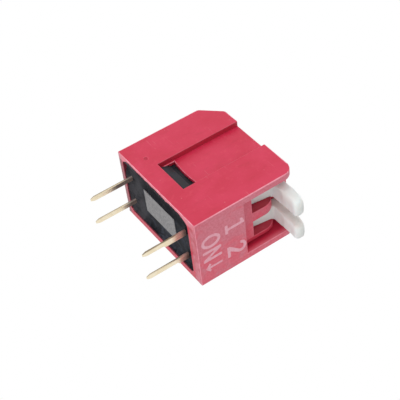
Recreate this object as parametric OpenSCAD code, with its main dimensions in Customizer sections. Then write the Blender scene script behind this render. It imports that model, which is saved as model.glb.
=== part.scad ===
// Piano-type DIP switch, two positions, for a 2.54 mm grid.
// Each key is a bell crank on two trunnions. Its paddle sticks out of the front
// near the top, and its arm hangs into the base, where a wiper bridges two
// terminals once the paddle is pressed down.
//
// Frame: Z = 0 is the board, +Z points away from it. X runs from key 1 to key 2,
// the keys face -Y, and the origin is the middle of the pin pattern.

/* [Layout] */
// Distance between neighbouring keys and pins
pitch = 2.54; // [2.4:0.01:3]
// Distance between the front and the back row of pins
row_spacing = 7.62; // [7.2:0.01:9]

/* [Housing] */
// From an outer key's middle to the outside of the end wall
end_margin = 2.09; // [1.95:0.01:2.6]
// From the front row of pins to the front face
front_margin = 1.79; // [1.6:0.01:2.4]
// From the back row of pins to the back face
back_margin = 1.32; // [1.1:0.01:2]
// Height of the housing above the board
housing_h = 9.4; // [8.8:0.05:11]
// Thickness of the end walls around the base's flange
skirt_t = 0.56; // [0.45:0.01:0.7]
// Thickness of the front wall beside the base
front_wall_t = 1.08; // [0.9:0.01:1.2]
// Thickness of the back wall beside the base
back_wall_t = 0.5; // [0.4:0.01:0.7]
// Thickness of the roof over the keys
roof_t = 0.53; // [0.35:0.01:0.7]
// Size of the slope along the top back edge
back_slope = 1.65; // [0.8:0.05:2.2]
// Radius at both ends of that slope
slope_round = 0.5; // [0.2:0.05:0.9]
// Radius where the end walls turn from the front to the top
front_round = 1; // [0.6:0.05:1.3]
// Radius of the housing's outer edges
edge_round = 0.06; // [0.04:0.01:0.25]

/* [Front] */
// Height of the plate that carries the print
plate_h = 4.5; // [4:0.05:5]
// Depth of the pocket above the plate
pocket_d = 0.65; // [0.4:0.01:0.8]
// Thickness of the cheeks on both sides of the pocket
cheek_t = 0.62; // [0.45:0.01:0.75]
// Height of the sill under the key openings
sill_h = 5.65; // [5.2:0.05:6.2]
// Thickness of the wall between the pocket and the keys
pocket_wall_t = 0.53; // [0.4:0.01:0.7]
// Radius at the top of the webs beside the openings
web_round = 1.2; // [0.8:0.05:1.4]
// How far the top of the webs stands above the keys' underside
web_rise = 0.1; // [0:0.05:0.3]
// How far the walls between the slots stand back above the webs
web_back = 0.5; // [0.2:0.05:0.8]
// Width of the relief groove beside each cheek
relief_w = 0.28; // [0.1:0.01:0.4]
// Depth of the relief grooves below the webs' face
relief_d = 0.35; // [0.1:0.01:0.5]

/* [Side latches] */
// Width of the channel down each end wall
channel_w = 3.6; // [2.8:0.05:4.2]
// Depth of the channel
channel_d = 0.5; // [0.3:0.01:0.6]
// Height of the channel's foot, where the latch snaps out
latch_h = 1.65; // [1.4:0.05:1.9]
// Width of the window in the channel's floor
window_w = 3.4; // [2.4:0.01:3.5]
// How far the latch stands out of the base's flange
latch_out = 0.26; // [0.2:0.01:0.4]
// Height of the latch nub
latch_nub_h = 0.85; // [0.7:0.05:1.2]
// Height of the upright edge at the nub's foot
latch_edge = 0.25; // [0.15:0.05:0.4]
// Bow of the window's upper edge at its middle
window_bow = 0.13; // [0.05:0.01:0.2]
// Diameter of the gate mark on the first end wall
gate_mark_d = 0.36; // [0.2:0.02:0.5]
// Distance of the gate mark from the back face
gate_mark_in = 2.2; // [1.8:0.05:2.6]
// Height of the gate mark above the board
gate_mark_h = 1.28; // [1:0.02:2]
// Depth of the gate mark
gate_mark_depth = 0.06; // [0.02:0.01:0.1]

/* [Keys] */
// Width of a key
key_w = 1.5; // [1.3:0.01:1.6]
// Thickness of the paddle
paddle_t = 0.85; // [0.7:0.01:1]
// How far the paddle stands out of the front face
paddle_out = 2.12; // [1.4:0.02:2.6]
// How far the paddle's top falls towards its tip
paddle_fall = 0.18; // [0.04:0.01:0.2]
// Radius of the hub around the trunnions
hub_r = 1.5; // [1.4:0.05:1.7]
// From the front row of pins back to the trunnions
pivot_back = 1.91; // [1.7:0.01:2.2]
// Diameter of a trunnion
trunnion_d = 0.9; // [0.7:0.02:1]
// How far a trunnion stands out of the key's side
trunnion_l = 0.28; // [0.2:0.01:0.32]
// How much narrower the snap neck is than a trunnion
snap = 0.12; // [0.06:0.01:0.2]
// Width of the arm that reaches into the base
arm_w = 1.3; // [1.1:0.05:1.5]
// Angle of the arm forward of straight down, at rest
arm_lean = 7.5; // [6:0.5:9]
// How far the key's front panel reaches below the sill
panel_drop = 0.1; // [0.05:0.05:0.4]
// How far the foot of that panel is set back
panel_rake = 0.3; // [0.05:0.05:0.5]
// Diameter of the stud that holds the wiper
stud_d = 0.44; // [0.36:0.02:0.5]
// Diameter of the stud's staked head
stake_d = 0.72; // [0.6:0.02:0.84]
// Turn of the key from off to on, in degrees
key_turn = 25; // [18:1:28]

/* [Contacts] */
// Lowest point of the curved contact track above the board
track_h = 1.8; // [1.5:0.05:2]
// Thickness of the wiper strip
wiper_t = 0.12; // [0.08:0.01:0.16]
// Width of the wiper strip
wiper_w = 1.1; // [0.9:0.05:1.2]
// Height of the wiper below the arm
wiper_h = 0.87; // [0.75:0.01:1]
// Width of the slit between the wiper's two fingers
wiper_slit = 0.22; // [0.15:0.01:0.3]
// Half the distance between the wiper's legs, inside
wiper_half = 0.56; // [0.5:0.01:0.62]
// Radius of the wiper's curled feet
foot_r = 0.2; // [0.17:0.01:0.22]

/* [Terminals] */
// Width of a pin
pin_w = 0.42; // [0.35:0.01:0.6]
// Thickness of the terminal strip
pin_t = 0.2; // [0.15:0.01:0.25]
// Length of a pin below the housing
pin_l = 3.7; // [2.8:0.05:4.2]
// Length of the taper at a pin's tip
pin_taper = 0.35; // [0.2:0.05:0.6]
// Width of a pin's tip
pin_tip_w = 0.24; // [0.15:0.01:0.3]
// Thickness of a pin's tip
pin_tip_t = 0.1; // [0.06:0.01:0.14]
// Width of the contact pads
pad_w = 1.1; // [0.9:0.05:1.3]
// Inside radius of the terminals' bends
bend_r = 0.12; // [0.08:0.01:0.15]
// Gap between the front and the back pad
pad_gap = 0.38; // [0.3:0.01:0.45]

/* [Base] */
// How far the base and its sealant sit above the board
base_lift = 0.22; // [0.15:0.01:0.35]
// Depth of the sealant
seal_t = 0.32; // [0.2:0.01:0.4]
// Width of the block in the middle of the base's underside
block_w = 2.36; // [1.6:0.02:2.6]
// Length of that block
block_l = 4.35; // [3.5:0.05:4.8]
// Height of the room that the housing leaves for the base
base_room_h = 3.1; // [2.95:0.05:3.3]
// Radius of the base's corners
base_corner = 0.4; // [0.2:0.05:0.5]
// Width of the ledge above the base's flange
ledge_w = 0.28; // [0.2:0.01:0.4]
// Height of the terminals' shoulders above the base's underside
shoulder_h = 0.45; // [0.3:0.05:0.7]

/* [Clearances] */
// Side clearance between a key and its slot
key_gap = 0.055; // [0.04:0.005:0.08]
// Radial clearance of a trunnion in its seat
trunnion_gap = 0.03; // [0.02:0.005:0.05]
// Clearance between the base and the housing
base_gap = 0.02; // [0.01:0.005:0.04]
// Clearance above the base, its flange and its latches
seat_gap = 0.04; // [0.02:0.01:0.06]
// Clearance at both ends of a latch in its window
latch_gap = 0.08; // [0.04:0.01:0.15]
// Room between the wiper and the ends of its well
well_gap = 0.1; // [0.06:0.01:0.2]
// Clearance left at a key's stops
stop_gap = 0.06; // [0.05:0.01:0.1]
// Clearance between the wiper's feet and the track
wiper_gap = 0.01; // [0.005:0.005:0.02]

/* [Hidden] */
$fn = 48;
POSITIONS = 2;
OVER = 1;       // how far a cut runs past the face that it opens
LAP = 0.005;    // how far neighbouring stretches of a strip run into each other
LAP_A = 0.5;    // the same for curved stretches, in degrees
ROOT = 0.2;     // how far a piece's own rib or nub is rooted in its body

housing_red = "#d0455f";
base_black = "#2e2f33";
key_white = "#e4e2df";
gold = "#e3cf9c";
sealant_black = "#1d1e21";

// Housing
half_x = (POSITIONS - 1) * pitch / 2 + end_margin;
front_y = -row_spacing / 2 - front_margin;
back_y = row_spacing / 2 + back_margin;
room_x = half_x - skirt_t;
room_front = front_y + front_wall_t;
room_back = back_y - back_wall_t;
pocket_y = front_y + pocket_d;
slot_front = pocket_y + pocket_wall_t;
cheek_x = half_x - cheek_t;
channel_x = half_x - channel_d;

// Keys
slot_w = key_w + 2 * key_gap;
roof_z = housing_h - roof_t;
paddle_top = roof_z - stop_gap;
paddle_low = paddle_top - paddle_t;
pivot_y = -row_spacing / 2 + pivot_back;
pivot_z = paddle_top - hub_r;
key_front = slot_front + stop_gap;
tip_y = front_y - paddle_out;
elbow_r = 0.35;
tip_top_r = 0.38;
tip_low_r = 0.25;
tip_corner = 0.6;
panel_low = sill_h - panel_drop;
brace_h = 1.2;
seat_x = key_w / 2 + trunnion_l + key_gap;
seat_r = trunnion_d / 2 + trunnion_gap;
neck_w = trunnion_d - snap;
neck_h = 0.75;
groove_w = trunnion_d + 2 * key_gap;
flare_h = 0.2;

// Staked stud, and the hole that it passes through
stake_h = 0.1;
stud_hole_d = stud_d + 2 * base_gap;

// Contact track: an arc around the trunnions
track_r = pivot_z - track_h;
arm_r = track_r - wiper_gap - wiper_h;
foot_u = wiper_half + foot_r;
foot_v = sqrt(pow(track_r - wiper_gap - foot_r, 2) - foot_u * foot_u);
foot_a = atan(foot_u / foot_v);
margin_a = 2;
pad_split = key_turn - arm_lean - foot_a + margin_a;
gap_a = pad_gap / track_r * 180 / PI;
back_pad_end = key_turn - arm_lean + foot_a + margin_a;

// Well in the base under each key
well_w = slot_w;
well_front = turned(-foot_u - foot_r, foot_v, -arm_lean)[0] - well_gap;
well_back = turned(foot_u + foot_r, foot_v, key_turn - arm_lean)[0] + well_gap;
stop_v = (pivot_z - base_room_h + arm_w / 2 * sin(key_turn - arm_lean))
    / cos(key_turn - arm_lean);
slot_back = max(turned(arm_w / 2, stop_v, key_turn - arm_lean)[0],
    pivot_y + hub_r) + stop_gap;

// Base
base_x = room_x - base_gap;
upper_x = base_x - ledge_w;
base_top = base_room_h - seat_gap;
base_low = base_lift + seal_t;
flange_top = latch_h - seat_gap;
seal_set = 0.04;

// Terminals
bend_out = bend_r + pin_t;
front_bend_y = -row_spacing / 2 + pin_t / 2 + bend_r;
front_bend_a = asin((front_bend_y - pivot_y) / (track_r + bend_out));
front_bend = on_arc(track_r + bend_out, front_bend_a);
knee_r = 0.3;
knee = on_arc(track_r + pin_t + knee_r, back_pad_end);
back_bend_y = row_spacing / 2 - pin_t / 2 - bend_r;
back_bend_z = knee[1] + knee_r - bend_r;
shoulder_z = base_low + shoulder_h;

// Middle of position i, counted from 1
function key_x(i) = (i - (POSITIONS + 1) / 2) * pitch;
// Point at radius r from the pivot, a degrees behind straight down
function on_arc(r, a) = [pivot_y + r * sin(a), pivot_z - r * cos(a)];
// Point u across and v down an arm that hangs a degrees behind straight down
function turned(u, v, a) =
    [pivot_y + u * cos(a) + v * sin(a), pivot_z + u * sin(a) - v * cos(a)];

// Extrudes a Y-Z outline by w along X, about x = 0
module along_x(w) {
    translate([-w / 2, 0, 0])
        rotate([90, 0, 90])
            linear_extrude(w) children();
}

// Extrudes an X-Z outline by w along Y, about y = 0
module along_y(w) {
    translate([0, w / 2, 0])
        rotate([90, 0, 0])
            linear_extrude(w) children();
}

// Rectangle given by its low and high corners
module span(low, high) {
    translate(low) square([high[0] - low[0], high[1] - low[1]]);
}

// Rectangle with round corners
module round_span(low, high, r) {
    span([low[0] + r, low[1]], [high[0] - r, high[1]]);
    span([low[0], low[1] + r], [high[0], high[1] - r]);
    for (x = [low[0] + r, high[0] - r], y = [low[1] + r, high[1] - r])
        translate([x, y]) circle(r);
}

// Ring sector around the origin, from angle a to angle b
module sector(inner, outer, a, b) {
    reach = outer * 2;
    mid = (a + b) / 2;
    intersection() {
        difference() {
            circle(outer, $fn = 96);
            circle(inner, $fn = 96);
        }
        polygon([
            [0, 0],
            reach * [cos(a), sin(a)],
            reach * [cos(mid), sin(mid)],
            reach * [cos(b), sin(b)]
        ]);
    }
}

// Ring sector around the pivot, between angles behind straight down
module track_sector(inner, outer, a, b) {
    translate([pivot_y, pivot_z]) sector(inner, outer, a - 90, b - 90);
}

// ---- Housing ----

module housing_profile() {
    ease = slope_round * tan(22.5);
    difference() {
        span([front_y, 0], [back_y, housing_h]);
        polygon([
            [back_y - back_slope, housing_h],
            [back_y + OVER, housing_h + OVER],
            [back_y + OVER, housing_h - back_slope - OVER],
            [back_y, housing_h - back_slope]
        ]);
        translate([back_y - back_slope - ease, housing_h - slope_round])
            sector(slope_round, 2 * slope_round, 45, 90);
        translate([back_y - slope_round, housing_h - back_slope - ease])
            sector(slope_round, 2 * slope_round, 0, 45);
        difference() {
            span([front_y - OVER, housing_h - front_round],
                [front_y + front_round, housing_h + OVER]);
            translate([front_y + front_round, housing_h - front_round])
                circle(front_round);
        }
    }
}

// Room in front of the webs and the roof, above the print plate
module pocket_profile() {
    web_c = [pocket_y + web_round, paddle_low - web_round + web_rise];
    span([front_y - OVER, plate_h], [pocket_y, housing_h + OVER]);
    difference() {
        union() {
            span([front_y - OVER, web_c[1]], [slot_front, housing_h + OVER]);
            span([front_y - OVER, web_c[1]], [slot_front + web_back, roof_z]);
        }
        translate(web_c) circle(web_round);
    }
}

// Groove beside a cheek, which keeps the wall around the slots even
module relief(side) {
    translate([side * (cheek_x - relief_w / 2), 0, 0])
        along_x(relief_w)
            span([pocket_y - OVER, plate_h], [pocket_y + relief_d, housing_h + OVER]);
}

// Slot that a key swings in, open to the front above the sill
module slot_profile() {
    span([slot_front, base_room_h - OVER], [slot_back, roof_z]);
    span([front_y - OVER, sill_h], [slot_front + OVER, roof_z]);
}

// Seat of a trunnion, with the snap neck and the groove that lead to it
module seat_profile() {
    translate([pivot_y, pivot_z]) {
        circle(seat_r);
        span([-neck_w / 2, -neck_h], [neck_w / 2, 0]);
        polygon([
            [-neck_w / 2, -neck_h], [neck_w / 2, -neck_h],
            [groove_w / 2, -neck_h - flare_h], [-groove_w / 2, -neck_h - flare_h]
        ]);
        span([-groove_w / 2, base_room_h - OVER - pivot_z],
            [groove_w / 2, -neck_h - flare_h]);
    }
}

// Channel down the outside of an end wall, and the latch window at its foot
module channel(side) {
    bow_r = (pow(window_w / 2, 2) + pow(window_bow, 2)) / (2 * window_bow);
    translate([side * (channel_x + OVER / 2), 0, 0])
        along_x(OVER)
            span([-channel_w / 2, latch_h], [channel_w / 2, housing_h + OVER]);
    translate([side * channel_x, 0, 0])
        along_x(2 * (channel_x - upper_x) + ROOT)
            difference() {
                span([-window_w / 2, latch_h], [window_w / 2, base_room_h]);
                translate([0, base_room_h - window_bow + bow_r])
                    circle(bow_r, $fn = 180);
            }
}

module housing() {
    color(housing_red)
        difference() {
            intersection() {
                along_x(2 * half_x) housing_profile();
                linear_extrude(housing_h)
                    round_span([-half_x, front_y], [half_x, back_y], edge_round);
                along_y(4 * row_spacing)
                    round_span([-half_x, -OVER], [half_x, housing_h], edge_round);
            }
            along_x(2 * cheek_x) pocket_profile();
            translate([0, 0, -OVER])
                linear_extrude(latch_h + OVER)
                    round_span([-room_x, room_front], [room_x, room_back],
                        base_corner);
            linear_extrude(base_room_h)
                round_span([-upper_x - base_gap, room_front],
                    [upper_x + base_gap, room_back], base_corner);
            for (i = [1 : POSITIONS])
                translate([key_x(i), 0, 0]) {
                    along_x(slot_w) slot_profile();
                    along_x(2 * seat_x) seat_profile();
                }
            for (side = [-1, 1]) {
                channel(side);
                relief(side);
            }
            translate([-half_x, back_y - gate_mark_in, gate_mark_h])
                rotate([0, 90, 0])
                    cylinder(d = gate_mark_d, h = 2 * gate_mark_depth, center = true);
        }
}

// ---- Base ----

// Latch that snaps out into the housing's window
module latch(side) {
    low = latch_h + seat_gap;
    root = side * (upper_x - ROOT);
    crest = side * base_x;
    edge = side * (base_x + latch_out);
    along_y(window_w - 2 * latch_gap)
        polygon([
            [root, low], [edge, low], [edge, low + latch_edge],
            [crest, low + latch_nub_h], [root, low + latch_nub_h]
        ]);
}

// Room for a wiper, with the contact track as its floor
module well_profile() {
    intersection() {
        translate([pivot_y, pivot_z]) circle(track_r, $fn = 180);
        span([well_front, 0], [well_back, base_room_h + OVER]);
    }
}

module base() {
    color(base_black)
        difference() {
            union() {
                translate([0, 0, base_low])
                    linear_extrude(flange_top - base_low)
                        round_span([-base_x, room_front + base_gap],
                            [base_x, room_back - base_gap], base_corner);
                translate([0, 0, base_low])
                    linear_extrude(base_top - base_low)
                        round_span([-upper_x, room_front + base_gap],
                            [upper_x, room_back - base_gap], base_corner);
                translate([0, 0, base_lift + 0.5 * seal_t])
                    cube([block_w, block_l, seal_t + 2 * LAP], center = true);
                for (side = [-1, 1]) latch(side);
            }
            for (i = [1 : POSITIONS]) {
                translate([key_x(i), 0, 0]) along_x(well_w) well_profile();
                front_terminal(i);
                back_terminal(i);
            }
        }
}

module base_sealant() {
    color(sealant_black)
        difference() {
            translate([0, 0, base_lift + seal_set])
                linear_extrude(seal_t - seal_set)
                    round_span([-room_x, room_front], [room_x, room_back],
                        base_corner);
            translate([0, 0, base_lift])
                cube([block_w, block_l, 4 * seal_t], center = true);
            for (i = [1 : POSITIONS]) {
                front_terminal(i);
                back_terminal(i);
            }
        }
}

// ---- Keys ----

// Lever that the finger presses, thinner and rounder at its tip
module paddle_profile() {
    top_c = [tip_y + tip_top_r, paddle_top - paddle_fall - tip_top_r];
    low_c = [tip_y + tip_low_r, paddle_low + tip_low_r];
    fall_a = atan(paddle_fall / (paddle_out - tip_top_r));
    brow = top_c + (tip_top_r - LAP) * [-sin(fall_a), cos(fall_a)];
    translate(top_c) circle(tip_top_r);
    translate(low_c) circle(tip_low_r);
    span([tip_y, low_c[1]], [top_c[0], top_c[1]]);
    polygon([
        [low_c[0], paddle_low], [pivot_y, paddle_low], [pivot_y, paddle_top],
        [brow[0] + (paddle_top - brow[1]) / tan(fall_a), paddle_top],
        brow, top_c, [low_c[0], top_c[1]]
    ]);
}

module key_profile() {
    arm = [for (uv = [[-1, 0], [-1, arm_r], [1, arm_r], [1, 0]])
        turned(uv[0] * arm_w / 2, uv[1], -arm_lean)];
    translate([pivot_y, pivot_z]) circle(hub_r, $fn = 96);
    polygon(arm);
    polygon([
        [pivot_y, paddle_low], [key_front, paddle_low],
        [key_front, paddle_low - elbow_r], [key_front + panel_rake, panel_low],
        turned(-arm_w / 2, pivot_z - panel_low + brace_h, -arm_lean),
        [pivot_y, panel_low - brace_h], [pivot_y, pivot_z]
    ]);
    paddle_profile();
    difference() {
        span([key_front - elbow_r, paddle_low - elbow_r],
            [key_front + ROOT, paddle_low + ROOT]);
        translate([key_front - elbow_r, paddle_low - elbow_r]) circle(elbow_r);
    }
}

// Puts its children at the foot of the arm, which hangs along their -Z
module at_arm() {
    translate([0, pivot_y, pivot_z])
        rotate([-arm_lean, 0, 0])
            translate([0, 0, -arm_r]) children();
}

// Stud under the arm, staked over the wiper
module stud() {
    at_arm()
        translate([0, 0, -wiper_t]) {
            cylinder(d = stud_d, h = wiper_t + ROOT);
            translate([0, 0, -stake_h]) cylinder(d = stake_d, h = stake_h);
        }
}

module key(i) {
    color(key_white)
        translate([key_x(i), 0, 0]) {
            intersection() {
                along_x(key_w) key_profile();
                linear_extrude(housing_h)
                    round_span([-key_w / 2, tip_y], [key_w / 2, back_y], tip_corner);
            }
            translate([0, pivot_y, pivot_z])
                rotate([0, 90, 0])
                    cylinder(d = trunnion_d, h = key_w + 2 * trunnion_l,
                        center = true);
            stud();
        }
}

// ---- Wipers ----

// Half of the bent strip, seen along X: u across the arm, v down from its foot
module wiper_half_profile() {
    corner = [wiper_half - wiper_t, 2 * wiper_t];
    foot = [foot_u, foot_v - arm_r];
    span([-LAP, 0], [corner[0] + LAP, wiper_t]);
    translate(corner) sector(wiper_t, 2 * wiper_t, -90, 0);
    span([wiper_half, corner[1] - LAP], [wiper_half + wiper_t, foot[1] + LAP]);
    translate(foot) sector(foot_r - wiper_t, foot_r, 0, 180);
}

module wiper(i) {
    color(gold)
        translate([key_x(i), 0, 0])
            at_arm()
                difference() {
                    mirror([0, 0, 1])
                        along_x(wiper_w) {
                            wiper_half_profile();
                            mirror([1, 0]) wiper_half_profile();
                        }
                    translate([-wiper_slit / 2, -OVER, -OVER - 2 * wiper_t])
                        cube([wiper_slit, 2 * OVER, OVER]);
                    cylinder(d = stud_hole_d, h = OVER, center = true);
                }
}

// ---- Terminals ----

// Pin with its tapered tip; z runs from the tip up to top
module pin(y, top) {
    translate([0, y, 0])
        intersection() {
            along_y(pin_t) pin_outline(pin_tip_w, pin_w, top);
            along_x(pin_w) pin_outline(pin_tip_t, pin_t, top);
        }
}

// A pin seen from one side, narrow at the tip
module pin_outline(tip, full, top) {
    polygon([
        [-tip / 2, -pin_l], [tip / 2, -pin_l], [full / 2, -pin_l + pin_taper],
        [full / 2, top], [-full / 2, top], [-full / 2, -pin_l + pin_taper]
    ]);
}

module front_terminal(i) {
    y = -row_spacing / 2;
    color(gold)
        translate([key_x(i), 0, 0]) {
            pin(y, shoulder_z + LAP);
            along_x(pad_w) {
                span([y - pin_t / 2, shoulder_z],
                    [y + pin_t / 2, front_bend[1] + LAP]);
                translate(front_bend)
                    sector(bend_r, bend_out, 90 + front_bend_a - LAP_A, 180);
                track_sector(track_r, track_r + pin_t, front_bend_a, pad_split);
            }
        }
}

module back_terminal(i) {
    y = row_spacing / 2;
    color(gold)
        translate([key_x(i), 0, 0]) {
            pin(y, shoulder_z + LAP);
            along_x(pad_w) {
                span([y - pin_t / 2, shoulder_z],
                    [y + pin_t / 2, back_bend_z + LAP]);
                translate([back_bend_y, back_bend_z])
                    sector(bend_r, bend_out, 0, 90);
                span([knee[0] - LAP, back_bend_z + bend_r],
                    [back_bend_y + LAP, back_bend_z + bend_out]);
                translate(knee)
                    sector(knee_r, knee_r + pin_t, 90, 90 + back_pad_end + LAP_A);
                track_sector(track_r, track_r + pin_t,
                    pad_split + gap_a, back_pad_end);
            }
        }
}

housing();
base();
base_sealant();
key(1);  // key_1
key(2);  // key_2
wiper(1);  // wiper_1
wiper(2);  // wiper_2
front_terminal(1);  // front_terminal_1
front_terminal(2);  // front_terminal_2
back_terminal(1);  // back_terminal_1
back_terminal(2);  // back_terminal_2
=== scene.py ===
"""Looks of a two-position piano DIP switch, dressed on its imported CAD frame.

Lengths in this script are in millimetres, which MM turns into Blender's metres.
"""

import math

import bmesh
import bpy
from mathutils import Matrix, Vector, noise


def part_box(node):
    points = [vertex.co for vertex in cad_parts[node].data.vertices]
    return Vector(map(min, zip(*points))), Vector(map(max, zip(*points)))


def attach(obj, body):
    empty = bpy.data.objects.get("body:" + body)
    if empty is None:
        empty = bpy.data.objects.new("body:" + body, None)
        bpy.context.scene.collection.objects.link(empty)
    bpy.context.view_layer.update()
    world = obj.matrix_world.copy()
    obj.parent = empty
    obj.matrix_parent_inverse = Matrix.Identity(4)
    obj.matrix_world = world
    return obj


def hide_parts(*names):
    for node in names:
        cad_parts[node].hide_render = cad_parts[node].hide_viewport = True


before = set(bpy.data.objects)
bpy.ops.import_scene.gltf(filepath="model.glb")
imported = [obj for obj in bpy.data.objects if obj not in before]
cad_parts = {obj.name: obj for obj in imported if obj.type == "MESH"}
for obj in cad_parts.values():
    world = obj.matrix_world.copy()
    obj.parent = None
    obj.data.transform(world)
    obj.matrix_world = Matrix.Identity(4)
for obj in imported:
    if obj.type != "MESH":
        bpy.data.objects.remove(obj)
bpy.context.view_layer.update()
MM = 0.001
TOUCH = 1e-5            # points nearer to each other than this are in the same place


def box_of(node):
    """Lowest and highest corner of a CAD node."""
    return [[c / MM for c in corner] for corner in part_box(node)]


def foot_of(node):
    """Lowest and highest corner, in X and Y, of a CAD node's lowest face."""
    points = [v.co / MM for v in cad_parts[node].data.vertices]
    level = min(p.z for p in points) + 0.01
    return [[pick(p[k] for p in points if p.z < level) for k in (0, 1)] for pick in (min, max)]


def pin_of(node):
    """Lowest and highest corner, in X and Y, of a terminal's pin above its narrow tip."""
    low, high = foot_of(node)
    middle = [(a + b) / 2 for a, b in zip(low, high)]
    return [[m + side * size / 2 for m, size in zip(middle, PIN_SIZE)] for side in (-1, 1)]


# ---- Sizes and places that several pieces share ----
HOUSING = box_of("housing")
SEALANT = box_of("base_sealant")        # it fills the housing's room from wall to wall
BLOCK = foot_of("base")                 # the base's block, which stands in the sealant
FRONT_Y = HOUSING[0][1]                 # the print plate's face
GATE_MARK = (HOUSING[0][0], HOUSING[1][1] - 2.2, 1.28)      # left by the moulding gate
SLOT_X = 2.15                           # the key slots lie nearer to the middle than this
CHEEK_X = 2.74                          # inner faces of the pocket's end walls
CHANNEL_X = (2.7, HOUSING[1][0] - 0.2)  # edges of the end walls' channels lie between these
PIN_SIZE = (0.42, 0.20)                 # a pin's width and thickness
TERMINALS = [f"{row}_terminal_{n}" for row in ("front", "back") for n in (1, 2)]
PINS = [pin_of(node) for node in TERMINALS]
PIN_Y = (PINS[-1][0][1] + PINS[-1][1][1]) / 2
PIN_TIP_Z = box_of(TERMINALS[0])[0][2]
EDGE = "edge"                           # mesh attribute: how rubbed a rounded edge is, which also paints a highlight on it

# ---- Camera ----
CAMERA_PLACE = (-56.946, -50.650, -24.608)
CAMERA_FORWARD = (0.70434, 0.61822, 0.34887)
CAMERA_DOWN = (0.70354, -0.54248, -0.45907)     # points down in the picture
FOCAL_PIXELS = 1016.14
PICTURE_PIXELS = 400
SENSOR_WIDTH = 36.0
CLIP_START = 1


def add_camera():
    forward = Vector(CAMERA_FORWARD).normalized()
    up = -Vector(CAMERA_DOWN)
    up = (up - forward * up.dot(forward)).normalized()
    turn = Matrix((forward.cross(up), up, -forward)).transposed().to_4x4()
    data = bpy.data.cameras.new("camera")
    data.sensor_width = SENSOR_WIDTH
    data.lens = FOCAL_PIXELS / PICTURE_PIXELS * SENSOR_WIDTH
    data.clip_start = CLIP_START * MM
    camera = bpy.data.objects.new("camera", data)
    bpy.context.scene.collection.objects.link(camera)
    camera.matrix_world = Matrix.Translation(Vector(CAMERA_PLACE) * MM) @ turn
    bpy.context.scene.camera = camera


# ---- Shader nodes ----

class Nodes:
    """Adds nodes to a tree. A value may be a plain one or another node's output."""

    def __init__(self, tree):
        self.tree = tree

    def add(self, kind, **settings):
        node = self.tree.nodes.new("ShaderNode" + kind)
        for key, value in settings.items():
            setattr(node, key, value)
        return node

    def put(self, value, socket):
        if isinstance(value, bpy.types.NodeSocket):
            self.tree.links.new(value, socket)
        else:
            socket.default_value = value

    def fill(self, sockets, *values):
        for socket, value in zip(sockets, values):
            self.put(value, socket)

    def math(self, operation, *values):
        node = self.add("Math", operation=operation)
        self.fill(node.inputs, *values)
        return node.outputs[0]

    def chain(self, operation, first, *others):
        for other in others:
            first = self.math(operation, first, other)
        return first

    def plus(self, *values):
        return self.chain("ADD", *values)

    def times(self, *values):
        return self.chain("MULTIPLY", *values)

    def most(self, *values):
        return self.chain("MAXIMUM", *values)

    def vector_math(self, operation, *vectors):
        node = self.add("VectorMath", operation=operation)
        self.fill(node.inputs, *vectors)
        return node.outputs["Value"]

    def remap(self, value, low, high, out_low=0.0, out_high=1.0, curve="SMOOTHSTEP"):
        """Goes from out_low to out_high while the value goes from low to high."""
        node = self.add("MapRange", interpolation_type=curve)
        self.fill(node.inputs, value, low, high, out_low, out_high)
        return node.outputs["Result"]

    def blend(self, factor, first, second):
        """Blends the shaders of two nodes."""
        node = self.add("MixShader")
        self.fill(node.inputs, factor, first.outputs[0], second.outputs[0])
        return node


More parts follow.
